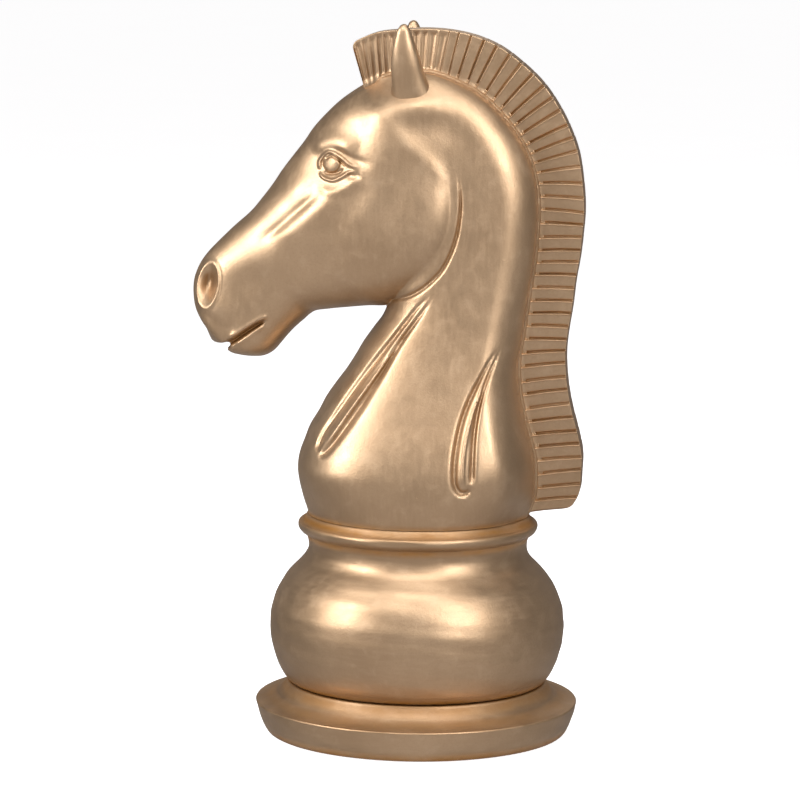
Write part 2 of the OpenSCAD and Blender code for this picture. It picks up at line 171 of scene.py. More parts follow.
def neck_relief():
    rows = smooth(NECK, 6)
    front = np.interp(Z, rows[:, 0], rows[:, 1])
    back = np.interp(Z, rows[:, 0], rows[:, 2])
    width = np.interp(Z, rows[:, 0], rows[:, 3])
    u = (X - (front + back) / 2) / ((back - front) / 2)
    low_foot = ramp(Z, 195, JOINT_Z)
    return signed_root(section(u, width, 0.3 * (1 - low_foot), 0.22 * (1 - low_foot)))


def face_relief():
    rows = smooth(FACE, 8)
    out = np.full(X.shape, -60.0)
    a, b = rows[:, 0:2], rows[:, 2:4]
    length = np.linalg.norm(b - a, axis=1)
    box = near(np.vstack([a, b]), 12)
    x, z = X[box], Z[box]
    last = None
    found = np.zeros(x.shape, bool)
    t = np.zeros(x.shape)
    for k in range(len(rows)):
        d = (b[k] - a[k]) / length[k]
        side = d[0] * (z - a[k, 1]) - d[1] * (x - a[k, 0])
        if last is not None:
            crossed = (last < 0) & (side >= 0) & ~found
            t = np.where(crossed, k - 1 + last / np.minimum(last - side, -1e-9), t)
            found |= crossed
        last = side
    columns = [np.interp(t, np.arange(len(rows)), rows[:, i]) for i in range(7)]
    ax, az, bx, bz, width, low, high = columns
    dx, dz = bx - ax, bz - az
    u = ((x - ax) * dx + (z - az) * dz) / (dx**2 + dz**2) * 2 - 1
    # it sinks into the neck towards the poll, where its rings begin
    sunk = 16 * (1 - ramp(t, 0, 20))
    out[box] = np.where(found, signed_root(section(u, width, low, high)) - sunk, -60.0)
    return out


def stroke(field, points, width, height, fade=(0.15, 0.15), steps=6):
    """Adds a ridge, or a groove where the height is negative, along a curve; its ends fade out."""
    curve = smooth(points, steps)
    reach = 3 * np.max(width)
    box = near(curve, reach)
    d, share, _ = distance(curve, X[box], Z[box])
    w = np.interp(share, np.linspace(0, 1, len(np.atleast_1d(width))), np.atleast_1d(width))
    ends = 1.0
    if fade[0] > 0:
        ends = ends * ramp(share, 0, fade[0])
    if fade[1] > 0:
        ends = ends * ramp(share, 1, 1 - fade[1])
    field[box] += height * np.exp(-((d / w) ** 2)) * ends


def blob(field, centre, size, height, turn=0):
    """Adds a rounded bump or hollow of the given half sizes, turned in the plane."""
    reach = 3 * max(size)
    box = near([centre], reach)
    c, s = math.cos(math.radians(turn)), math.sin(math.radians(turn))
    x, z = X[box] - centre[0], Z[box] - centre[1]
    p, q = (c * x + s * z) / size[0], (-s * x + c * z) / size[1]
    field[box] += height * np.exp(-(p**2 + q**2))


EYE, EYE_R = (-60, 407.4), 6.4
NOSTRIL, NOSTRIL_SIZE, NOSTRIL_TURN = (-148.5, 319), (7.2, 14.6), 8
MOUTH = (-121, 285)


def carve_face(h):
    # brow, socket and eyeball
    blob(h, (-61, 405), (16, 11), -2.8, -20)
    stroke(h, [(-75, 412), (-69, 419), (-60, 422), (-49, 419.5), (-38, 417)], (4, 7, 8), 2.6,
           (0.25, 0.35))
    stroke(h, [(-60, 418.4), (-53, 415.4), (-45, 411.4), (-36, 408.4), (-27, 408)], (1.6, 2.6, 4.2), -1.3,
           (0.25, 0.45))
    stroke(h, [(-70, 391.5), (-60, 387.5), (-49, 391), (-38, 399)], (3, 4.5), 1.3, (0.25, 0.25))
    ball = near([EYE], 12)
    r = np.hypot(X[ball] - EYE[0], Z[ball] - EYE[1])
    h[ball] += 3.2 * np.sqrt(np.clip(1 - (r / EYE_R) ** 2, 0, 1))
    stroke(h, [(-69, 401.5), (-68.4, 409), (-62, 415), (-53.5, 412), (-46.5, 407), (-38.5, 404)],
           (1.0, 1.5, 1.2), 2.1, (0.1, 0.25))
    stroke(h, [(-65.5, 409), (-60, 412.4), (-53, 408.4), (-48.5, 405)], 0.8, -1.4)
    stroke(h, [(-69, 401.5), (-65.5, 397.4), (-58.5, 395.8), (-52, 398.6), (-46, 402), (-40, 401.4)],
           (1.0, 1.3, 1.0), 1.8, (0.12, 0.25))
    stroke(h, [(-66, 401.5), (-62, 400), (-56, 400.6), (-51, 404)], 0.8, -1.2)
    stroke(h, [(-50, 400), (-44, 399), (-38, 401)], 2.4, -1.2, (0.3, 0.3))
    # bones of the face
    stroke(h, [(-72, 400), (-90, 385), (-111, 366), (-130, 352)], (6, 8, 7), 1.7, (0.3, 0.3))
    stroke(h, [(-66, 389), (-82, 375), (-99, 360), (-114, 349)], (2.6, 3.4, 3), -1.6, (0.3, 0.35))
    stroke(h, [(-50, 389), (-70, 374), (-90, 358), (-106, 348)], (6, 9, 8), 2.2, (0.3, 0.35))
    stroke(h, [(-28, 400), (-41, 384), (-52, 366), (-52, 348)], (9, 12, 11), -1.6, (0.3, 0.3))
    blob(h, (-78, 336), (28, 12), -2.0, 22)
    blob(h, (-8, 362), (26, 32), 1.8, 0)
    blob(h, (-26, 444), (16, 12), 1.2, -30)
    # muzzle, nostril and mouth
    blob(h, (-118, 322), (14, 10), -1.4, 30)
    blob(h, (-141, 303), (10, 8), 1.6, 20)
    ring = near([NOSTRIL], 30)
    x, z = X[ring] - NOSTRIL[0], Z[ring] - NOSTRIL[1]
    c, s = math.cos(math.radians(NOSTRIL_TURN)), math.sin(math.radians(NOSTRIL_TURN))
    p, q = (c * x - s * z) / NOSTRIL_SIZE[0], (s * x + c * z) / NOSTRIL_SIZE[1]
    rho = np.hypot(p, q)
    h[ring] += 1.7 * np.exp(-(((rho - 1.12) / 0.17) ** 2)) - 8.5 * (1 - ramp(rho, 0.1, 1.03))
    stroke(h, [(-141, 273.6), (-138, 274.8), (-135.6, 275.7)], (2.0, 1.5), -60, (0, 0))
    stroke(h, [(-136, 276), (-128, 281.4), (-117, 289), (-106, 296)], (1.8, 1.9, 1.3), -6, (0.0, 0.25))
    stroke(h, [(-134, 281.5), (-122, 288), (-110, 296), (-104, 299)], 2.2, 1.3)
    stroke(h, [(-129, 277), (-119, 284), (-108, 292)], 2.2, 0.9)
    stroke(h, [(-150, 300), (-140, 291), (-128, 289)], 3.5, -0.8)


def carve_neck(h):
    crease = [(28, 408), (29.6, 398), (30.8, 388), (31, 378), (30.3, 369), (28.6, 359), (25.6, 349),
              (21.6, 340), (16.6, 332.4), (10, 325.6), (3, 320), (-5, 315.5), (-14, 312.5), (-24, 310)]
    stroke(h, crease, (0.7, 1.1, 1.5, 1.4), -2.6, (0.25, 0.1))
    # front hollow of the neck: two grooves with a ridge between them, joined at the ends
    stroke(h, [(12.6, 319.5), (0, 306), (-15, 286), (-34.5, 260), (-54, 231.5), (-61.4, 220.5),
               (-65.6, 211), (-66, 204.5)], (0.9, 1.7, 2.4, 2.0), -3.4, (0.3, 0.05))
    stroke(h, [(12.6, 319), (9.5, 311), (-9.5, 284), (-24, 259.5), (-39, 236), (-52, 217),
               (-60, 207.6), (-66, 203)], (0.9, 1.7, 2.8, 2.2), -3.6, (0.3, 0.05))
    stroke(h, [(-6, 290), (-24, 264), (-46, 233), (-58, 215.5), (-62, 210)], (0.7, 1.4, 1.8), 1.8,
           (0.3, 0.15))
    # back hollow of the neck
    stroke(h, [(61.5, 284.5), (54.5, 275), (47.3, 261), (40.5, 246), (35.6, 231), (32.8, 215), (31.8, 201),
               (32.4, 190), (36, 184.4), (41, 184.8), (43.8, 191)], (0.8, 1.8, 2.2, 2.0), -3.4, (0.3, 0.08))
    stroke(h, [(61.5, 284.5), (59.5, 279), (53.1, 264), (47.4, 244.5), (44.6, 225), (44, 205.5), (44, 188)],
           (0.8, 1.5, 2.0), -3.0, (0.3, 0.08))
    stroke(h, [(53, 262), (43.6, 240), (38.8, 218), (37.6, 200), (38, 188)], (0.7, 1.3, 1.5), 1.8,
           (0.25, 0.08))


ROLL_OFF = 26       # the head rounds over towards the mane within this distance
SEAT_RELIEF = 1.6   # the head stands this far proud of the mane's side at its seat
SEAT_ROUNDING = 2.2
TONGUE = 3.0        # the head runs on this far behind the seat, inside the mane
TONGUE_GAP = 1.5


def head_relief():
    """Half thickness of neck and head over the grid, negative outside the outline."""
    neck, face = neck_relief(), face_relief()
    # one broad form at the poll, a crisp jaw further down
    thinner = np.minimum(neck, face)
    h = soft_max(neck, face, 1.2 + 9 * ramp(Z - 0.25 * X, 385, 425) * ramp(thinner, 2, 34))
    d, _, side = distance(smooth(SEAT, 6), X, Z)
    behind = np.where(side > 0, -d, d)
    start = MANE_HALF + SEAT_RELIEF
    k = np.clip(1 - np.maximum(behind, 0) / ROLL_OFF, 0, 1)
    h = np.minimum(h, start + np.maximum(h - start, 0) * np.sqrt(1 - k**2))
    # a low mound carries the foot of the ear
    mound = np.exp(-((X - 2) / 20) ** 2 - ((Z - 447) / 10) ** 2)
    h = h + 4.5 * mound * ramp(h, 8, 22)
    # behind the seat the head goes on as a tongue inside the mane
    edge = np.clip((SEAT_ROUNDING - behind) / SEAT_ROUNDING, 0, 1)
    lip = start - 3.2 * (1 - np.sqrt(1 - np.minimum(edge, 0.999) ** 2))
    h = np.where(behind < SEAT_ROUNDING, np.minimum(h, lip), h)
    h = np.where(behind < -0.2, np.minimum(h, MANE_HALF - TONGUE_GAP), h)
    h = np.where(behind < -TONGUE, (TONGUE + behind) * 12, h)
    carve_face(h)
    carve_neck(h)
    return h


class Relief:
    """The head's squared half thickness over the plane, sampled anywhere between the grid's points."""

    def __init__(self, h):
        self.g = h * np.abs(h)
        self.gx, self.gz = np.gradient(self.g, CELL)

    def at(self, x, z):
        u = np.clip((x - GX[0]) / CELL, 0, len(GX) - 1.001)
        v = np.clip((z - GZ[0]) / CELL, 0, len(GZ) - 1.001)
        i, k = u.astype(int), v.astype(int)
        a, b = u - i, v - k
        out = []
        for f in (self.g, self.gx, self.gz):
            out.append((f[i, k] * (1 - a) + f[i + 1, k] * a) * (1 - b)
                       + (f[i, k + 1] * (1 - a) + f[i + 1, k + 1] * a) * b)
        return out

    def settle(self, v, rounds=4):
        """Moves points onto the surface y * y = g."""
        for _ in range(rounds):
            g, gx, gz = self.at(v[:, 0], v[:, 2])
            f = g - v[:, 1] ** 2
            n = np.stack([gx, -2 * v[:, 1], gz], 1)
            step = (f / np.maximum((n**2).sum(1), 1.0))[:, None] * n
            size = np.linalg.norm(step, axis=1, keepdims=True)
            v = v - step * np.minimum(1, 0.8 / np.maximum(size, 1e-9))
        return v


def surface_net(f, origin, cell):
    """Quads around the region where f is positive, on a regular grid."""
    inside = f > 0
    corners = [(a, b, c) for a in (0, 1) for b in (0, 1) for c in (0, 1)]
    n = tuple(s - 1 for s in f.shape)

    def part(arr, a, b, c):
        return arr[a:a + n[0], b:b + n[1], c:c + n[2]]

    count = np.zeros(n, np.int8)
    for c in corners:
        count += part(inside, *c)
    cells = np.argwhere((count > 0) & (count < 8))
    index = np.full(n, -1, np.int32)
    index[tuple(cells.T)] = np.arange(len(cells))
    total, hits = np.zeros((len(cells), 3)), np.zeros(len(cells))
    for a in corners:
        for axis in range(3):
            if a[axis]:
                continue
            b = tuple(1 if i == axis else a[i] for i in range(3))
            fa = f[tuple((cells + a).T)]
            fb = f[tuple((cells + b).T)]
            cross = (fa > 0) != (fb > 0)
            t = np.where(cross, fa / np.where(cross, fa - fb, 1), 0)
            p = np.array(a, float) + t[:, None] * (np.array(b) - np.array(a))
            total += np.where(cross[:, None], p, 0)
            hits += cross
    verts = (cells + total / hits[:, None]) * cell + origin
    quads = []
    for axis in range(3):
        u, v = (axis + 1) % 3, (axis + 2) % 3
        lo = [slice(None)] * 3
        hi = [slice(None)] * 3
        lo[axis], hi[axis] = slice(0, -1), slice(1, None)
        a, b = inside[tuple(lo)], inside[tuple(hi)]
        edges = np.argwhere(a != b)
        edges = edges[(edges[:, u] > 0) & (edges[:, v] > 0)
                      & (edges[:, u] < n[u]) & (edges[:, v] < n[v])]
        outward = a[tuple(edges.T)]
        du, dv = np.zeros(3, int), np.zeros(3, int)
        du[u], dv[v] = 1, 1
        ring = [edges - du - dv, edges - dv, edges, edges - du]
        q = np.stack([index[tuple(r.T)] for r in ring], 1)
        quads.append(np.where(outward[:, None], q, q[:, ::-1]))
    return verts, np.vstack(quads)


def link_object(name, me):
    ob = bpy.data.objects.new(name, me)
    bpy.context.scene.collection.objects.link(ob)
    return ob


def new_object(name, verts_mm, faces):
    me = bpy.data.meshes.new(name)
    me.from_pydata((np.asarray(verts_mm) * MM).tolist(), [], [tuple(f) for f in faces])
    me.update()
    me.validate()
    me.polygons.foreach_set("use_smooth", np.ones(len(me.polygons), bool))
    return link_object(name, me)


NET = 1.0
BORE_R = 36.0
BORE_TOP = JOINT_Z + 16


def head_halves(h):
    relief = Relief(h)
    xs = np.arange(-166, 92, NET)
    ys = np.arange(-84.5, 85, NET)
    zs = np.arange(JOINT_Z - 3, 478, NET)
    gx, gz = np.meshgrid(xs, zs, indexing="ij")
    g = relief.at(gx.ravel(), gz.ravel())[0].reshape(gx.shape)
    f = g[:, None, :] - ys[None, :, None] ** 2
    verts, quads = surface_net(f, np.array([xs[0], ys[0], zs[0]]), NET)
    verts = relief.settle(verts)
    bm = bmesh.new()
    me = bpy.data.meshes.new("head_net")
    me.from_pydata(verts.tolist(), [], quads.tolist())
    bm.from_mesh(me)
    bpy.data.meshes.remove(me)
    geom = bm.verts[:] + bm.edges[:] + bm.faces[:]
    bmesh.ops.bisect_plane(bm, geom=geom, plane_co=(0, 0, JOINT_Z), plane_no=(0, 0, 1), clear_inner=True)
    fine = [(EYE, 17), (NOSTRIL, 20), (MOUTH, 20)]
    picked = set()
    for (cx, cz), r in fine:
        for face in bm.faces:
            c = face.calc_center_median()
            if (c.x - cx) ** 2 + (c.z - cz) ** 2 < r * r and abs(c.y) > 3:
                picked.update(face.edges)
    bmesh.ops.subdivide_edges(bm, edges=list(picked), cuts=1, use_grid_fill=True)
    co = np.array([v.co for v in bm.verts])
    moved = relief.settle(co.copy())
    keep = np.abs(co[:, 2] - JOINT_Z) < 1e-4
    moved[keep] = co[keep]
    moved[np.abs(co[:, 1]) < 1e-4, 1] = 0
    for v, p in zip(bm.verts, moved):
        v.co = p
    halves = []
    for name, s in (("head_left", -1), ("head_right", 1)):
        half = bm.copy()
        away = [fc for fc in half.faces if fc.calc_center_median().y * s < 0]
        bmesh.ops.delete(half, geom=away, context="FACES")
        loose = [v for v in half.verts if not v.link_faces]
        bmesh.ops.delete(half, geom=loose, context="VERTS")
        close_half(half, s)
        me = bpy.data.meshes.new(name)
        bmesh.ops.scale(half, vec=(MM, MM, MM), verts=half.verts)
        half.to_mesh(me)
        half.free()
        halves.append(link_object(name, me))
    bm.free()
    return halves


def boundary_loop(bm):
    """The longest closed loop of open edges, as vertices in order."""
    open_edges = {e for e in bm.edges if len(e.link_faces) == 1}
    loops = []
    while open_edges:
        e = open_edges.pop()
        loop = [e.verts[0], e.verts[1]]
        while True:
            nxt = [x for x in loop[-1].link_edges if x in open_edges]
            if not nxt:
                break
            open_edges.discard(nxt[0])
            v = nxt[0].other_vert(loop[-1])
            if v is loop[0]:
                break
            loop.append(v)
        loops.append(loop)
    return max(loops, key=len)


def close_half(bm, s):
    """Adds the seam face, the underside and the bore for the spigot to one half of the head."""
    for f in bm.faces:
        f.smooth = True
    loop = boundary_loop(bm)
    foot = [v for v in loop if abs(v.co.z - JOINT_Z) < 1e-3]
    back = max(foot, key=lambda v: v.co.x if abs(v.co.y) < 1e-3 else -1e9)
    front = min(foot, key=lambda v: v.co.x if abs(v.co.y) < 1e-3 else 1e9)
    i = loop.index(front)
    loop = loop[i:] + loop[:i]
    j = loop.index(back)
    one, two = loop[:j + 1], loop[j:] + loop[:1]
    seam, under = (one, two) if len(one) > len(two) else (two[::-1], one[::-1])
    turns = 24
    arc = [(BORE_R * math.cos(math.pi * k / turns), s * BORE_R * math.sin(math.pi * k / turns))
           for k in range(turns + 1)]
    low = [bm.verts.new((x, y, JOINT_Z)) for x, y in arc]
    high = [bm.verts.new((x, y, BORE_TOP)) for x, y in arc]
    bm.faces.new(seam + [low[0], high[0], high[-1], low[-1]])
    bm.faces.new(under + low[::-1])
    bm.faces.new(high)
    for k in range(turns):
        bm.faces.new((low[k], low[k + 1], high[k + 1], high[k]))
    bmesh.ops.recalc_face_normals(bm, faces=bm.faces)
    for v_a, v_b in zip(loop, loop[1:] + loop[:1]):
        e = bm.edges.get((v_a, v_b))
        if e:
            e.smooth = False


# ---------------------------------------------------------------- mane

# Each row runs from the mane's seat to its outer edge: [seat x, z, edge x, z]
MANE_LINES = [
    [-41, 463, -49, 490], [-30, 467.5, -33, 497], [-15, 471.3, -17, 499.3], [0, 472.6, 1, 500.5],
    [14, 470.6, 20, 499.4], [28, 465, 38, 495.6], [40, 459.5, 55, 488.4], [51, 450.5, 71, 476.8],
    [60, 441, 84.5, 464], [68, 431, 95, 449.7], [75, 419.5, 104, 433], [80.5, 406.5, 110.8, 414.5],
    [84, 392, 114.4, 392], [85.3, 377, 115.5, 375], [84.8, 360, 114.6, 360], [83.4, 342, 112.9, 343],
    [81, 325, 110, 325], [78.3, 306, 108, 307], [75.7, 287, 105, 286.5], [73, 268, 104, 271.5],
    [74, 249, 105.3, 253.5], [77.3, 231, 108.5, 236], [81.8, 214, 113.5, 217.5], [85.3, 200, 116.5, 203],
    [86.1, 186, 116.3, 190], [85.3, 173, 115, 175.5], [81, 160.9, 109, 164.3],
]


# Depth over one lock, from groove to groove, on the back and on the finer front of the mane
LOCK_AT = [0, 0.105, 0.14, 0.21, 0.5, 0.86, 1]
LOCK_DEPTH = [2.9, 0.35, 0.0, 0.75, 0.85, 1.3, 2.9]
FLUTE_AT = [0, 0.12, 0.3, 0.5, 0.7, 0.88, 1]
FLUTE_DEPTH = [0.15, 0.45, 1.25, 1.5, 1.25, 0.45, 0.15]
LOCK_ROWS = [0, 0.035, 0.07, 0.105, 0.14, 0.175, 0.21, 0.3, 0.42, 0.54, 0.66, 0.78, 0.86, 0.91, 0.955]
MANE_INSET = 0.1            # keeps the mane's side just inside the CAD plate
CORNER_R, RIM_R = 4.0, 0.8  # rounding of the mane's ends and of its outer rim


def mane_object():
    rng = np.random.default_rng(SEED)
    lines = smooth(MANE_LINES, 24)
    mid = (lines[:, 0:2] + lines[:, 2:4]) / 2
    run = np.concatenate([[0], np.cumsum(np.linalg.norm(np.diff(mid, axis=0), axis=1))])
    marks, at = [0.0], 1.2
    while at < run[-1] - 4:
        marks.append(at)
        pitch = np.interp(at, [0, 45, 75, 130, run[-1]], [4.4, 5.4, 8.2, 9.2, 9.6])
        at += pitch * rng.uniform(0.92, 1.08)
    marks = np.array(marks + [run[-1]])
    count = len(marks) - 1
    inner = marks + rng.uniform(-0.45, 0.45, count + 1)
    outer = marks + rng.uniform(-0.45, 0.45, count + 1)
    inner[[0, -1]] = outer[[0, -1]] = marks[[0, -1]]
    deep = rng.uniform(0.85, 1.2, count)
    across = np.concatenate([[-0.25, -0.12], np.linspace(0, 0.94, 24), [0.965, 0.98, 0.992, 1.0]])
    edge = np.linspace(1, -1, 13)[1:-1]
    rows = []
    places = [(k, w) for k in range(count) for w in LOCK_ROWS] + [(count - 1, 1.0)]
    for k, w in places:
        s_in = inner[k] * (1 - w) + inner[k + 1] * w
        s_out = outer[k] * (1 - w) + outer[k + 1] * w
        a = np.array([np.interp(s_in, run, lines[:, i]) for i in (0, 1)])
        b = np.array([np.interp(s_out, run, lines[:, i]) for i in (2, 3)])
        length = np.linalg.norm(b - a)
        d = (b - a) / length
        end = min(s_out, run[-1] - s_out)
        bend = max(0.0, 1 - end / CORNER_R)
        reach = length - CORNER_R * (1 - math.sqrt(1 - bend**2))
        front = 1 - float(ramp(marks[k], 48, 80))
        v = across * reach
        lock = np.interp(w, LOCK_AT, LOCK_DEPTH)
        flute = np.interp(w, FLUTE_AT, FLUTE_DEPTH)
        arch = ramp(v, reach - 1.2, reach - 1.2 - 3.5 * (1 - (2 * w - 1) ** 2 * 0.7))
        depth = (front * (0.15 + (flute - 0.15) * arch) + (1 - front) * lock) * deep[k]
        depth = depth * ramp(v, -1.5, 1.2) * (0.98 + 0.04 * np.sin(v * 0.25 + k * 2.3))
        drop = np.clip((v - (reach - RIM_R)) / RIM_R, 0, 1)
        half = MANE_HALF - MANE_INSET - depth - RIM_R * (1 - np.sqrt(1 - drop**2))
        bowed = 0.35 * np.sin(np.clip(v / length, 0, 1) * math.pi) * (1 - front)
        side = np.stack([a[0] + d[0] * v, -half, a[1] + d[1] * v + bowed], 1)
        notch = (lock - 0.4) * 0.22 * (1 - front) + 0.1 * (flute - 0.5) * front
        tip = reach - notch * (0.4 + 0.6 * np.abs(edge)) - 0.1 * np.sin(edge * 9 + k)
        rim = np.stack([a[0] + d[0] * tip, -edge * half[-1], a[1] + d[1] * tip], 1)
        rows.append(np.vstack([side, rim, side[::-1] * [1, -1, 1]]))
    n = len(rows[0])
    faces = []
    for i in range(len(rows) - 1):
        for j in range(n):
            p, q = i * n + j, i * n + (j + 1) % n
            faces.append((p, p + n, q + n, q))
    faces.append(tuple(range(n)))
    faces.append(tuple(range(len(rows) * n - 1, (len(rows) - 1) * n - 1, -1)))
    return new_object("mane", np.vstack(rows), faces)


# ---------------------------------------------------------------- ears

# [x, y, height, half length along the head, half width] up the ear
EAR = [
    [1, 21, 438, 21, 11.5], [-1, 23.5, 447, 17.5, 11.6], [-3.8, 26.2, 456, 14.2, 10.6],
    [-6.4, 29.4, 466, 12, 9.3], [-8.2, 32, 477, 10.4, 8.4], [-9.2, 33.6, 486.5, 8.6, 7.1],
    [-9.8, 34.5, 494.5, 6.4, 5.6], [-10, 35, 500, 4.5, 4.2], [-9.9, 35, 503.2, 2.5, 2.4],
    [-9.8, 35, 504.4, 0.8, 0.8],
]


EAR_OPENING = (-0.96, -0.26)  # direction the ear's cup faces, along x and outwards


def ear_object(name, s):
    """One ear on the side s of the head, as a stack of rings with a cup sunk into its front."""
    rows = smooth(EAR, 8)
    turns = 56
    verts = []
    for r in rows:
        rise = (r[2] - EAR[0][2]) / (EAR[-1][2] - EAR[0][2])
        hollow = ramp(rise, 0.3, 0.5) * (1 - ramp(rise, 0.86, 0.99))
        for k in range(turns):
            t = 2 * math.pi * k / turns
            c, q = math.cos(t), math.sin(t)
            x = r[0] + r[3] * (c if c > 0 else -1.12 * abs(c) ** 0.7)
            y = r[1] + r[4] * q
            facing = max(0.0, c * EAR_OPENING[0] + q * EAR_OPENING[1])
            dent = hollow * float(ramp(facing, 0.7, 0.97))
            x += dent * r[3] * 0.95
            verts.append((x, s * y, r[2]))
    faces = []
    for i in range(len(rows) - 1):
        for k in range(turns):
            a, b = i * turns + k, i * turns + (k + 1) % turns
            faces.append((a, b, b + turns, a + turns) if s > 0 else (a, a + turns, b + turns, b))
    bottom = list(range(turns))
    top = [(len(rows) - 1) * turns + k for k in range(turns)]
    faces.append(tuple(bottom[::-1] if s > 0 else bottom))
    faces.append(tuple(top if s > 0 else top[::-1]))
    return new_object(name, verts, faces)


# ---------------------------------------------------------------- turned base

SHARP_EDGE = math.radians(38)


def lathe(name, outline, wobble, turns=360):
    """Closed ring turned about the axis from an outline of [radius, height] in millimetres.

    The cast surface wanders only inwards from the outline, by an amount that the wobble scales.
    """
    rng = np.random.default_rng(SEED + len(name))
    p = np.array(outline, float)
    n = len(p)
    t = np.arange(turns) * 2 * math.pi / turns
    off = np.zeros((n, turns))
    for _ in range(9):
        waves, phase = rng.integers(2, 14), rng.uniform(0, 6.28)
        twist, amp = rng.uniform(0.02, 0.12), rng.normal() / 3
        off += amp * np.sin(waves * t[None, :] + phase + twist * p[:, 1:2] * 6.28)
    off = wobble * (off - off.max())
    r = p[:, 0:1] + off
    verts = np.stack([r * np.cos(t), r * np.sin(t), np.repeat(p[:, 1:2], turns, 1)], 2).reshape(-1, 3)
    faces = []
    for i in range(n):
        a, b = i * turns, ((i + 1) % n) * turns
        for k in range(turns):
            m = (k + 1) % turns
            faces.append((a + k, a + m, b + m, b + k))
    ob = new_object(name, verts, faces)
    me = ob.data
    bm = bmesh.new()
    bm.from_mesh(me)
    bmesh.ops.recalc_face_normals(bm, faces=bm.faces)
    for e in bm.edges:
        if len(e.link_faces) == 2 and e.calc_face_angle(0) > SHARP_EDGE:
            e.smooth = False
    bm.to_mesh(me)
    bm.free()
    return ob


CUP_R = 44.3        # bore that the socket cup sits in
FLANGE_BORE_R = 70
FLANGE_FACE_Z = 36.3
WALL = 5


def base_objects():
    """Foot, bulb and collar, each a closed ring with its own bore and seats."""
    cover_top = box_mm("base_cover")[1][2]
    cover_r = box_mm("base_cover")[1][0] + 0.3
    foot = smooth([[107, FLANGE_LOW], [108.6, 3.2], [111.2, 8.5], [113.4, 15], [114.6, 20.2]], 5)
    rim = [[114.95, 21.3], [FLANGE_R, 21.9], [114.6, 22.5], [113.9, 22.7]]
    cove = smooth([[113.9, 22.7], [110, 23.1], [105, 24.5], [100.5, 26.8], [97, 29.8], [94.6, 32.8],
                   [93.2, 34.7]], 6)
    bead = smooth([[93.2, 34.7], [92.6, 35.9], [91.6, 36.4], [90.4, 36.4], [89.4, 36.0]], 4)
    flange = np.vstack([foot, rim, cove[1:], bead[1:],
                        [[88.8, FLANGE_FACE_Z], [FLANGE_BORE_R, FLANGE_FACE_Z],
                         [FLANGE_BORE_R, 30], [84, 30],
                         [84, cover_top], [cover_r, cover_top], [cover_r, FLANGE_LOW]]])
    bulb = smooth([[89.6, 36.5], [90.9, 37.2], [92.2, 37.9], [93.8, 39.6], [96.6, 43.6], [99.4, 49.5],
                   [102, 56.5], [104.1, 65], [105, 73.5], [105, 81], [103.9, 89.5], [101.2, 98],
                   [97.2, 106.5], [92, 113.8], [86.6, 119.6], [82, 124.4], [79.2, 128.8], [78, 133],
                   [78.1, 137], [79.2, 140.6], [80.2, COLLAR_Z]], 6)
    wall = bulb[::-1].copy()
    wall[:, 0] -= WALL
    wall = wall[(wall[:, 1] > 44) & (wall[:, 1] < 135)]
    bulb = np.vstack([bulb, [[CUP_R, COLLAR_Z], [CUP_R, 136.5], [73, 136.5]], wall,
                      [[90, 43], [FLANGE_BORE_R, 43], [FLANGE_BORE_R, 36.5]]])
    lip = smooth([[80.2, COLLAR_Z], [81.4, 143.2], [83.4, 144.6], [84.9, 146.5], [LIP_R, 148.6],
                  [85.2, 150.3], [84.4, 151.3]], 5)
    dish = smooth([[84.4, 151.3], [83.2, 151.7], [81.6, 152.9], [80.2, 154.8], [79.2, 156.2],
                   [78.2, 156.8]], 5)
    collar = np.vstack([lip, dish[1:], [[74.7, 156.8], [74.7, 154.5], [CUP_R, 154.5], [CUP_R, 146.8],
                                        [62.3, 146.8], [62.3, COLLAR_Z]]])
    return (lathe("foot", flange, 0.12), lathe("bulb", bulb, 0.12), lathe("collar", collar, 0.1))


# ---------------------------------------------------------------- materials

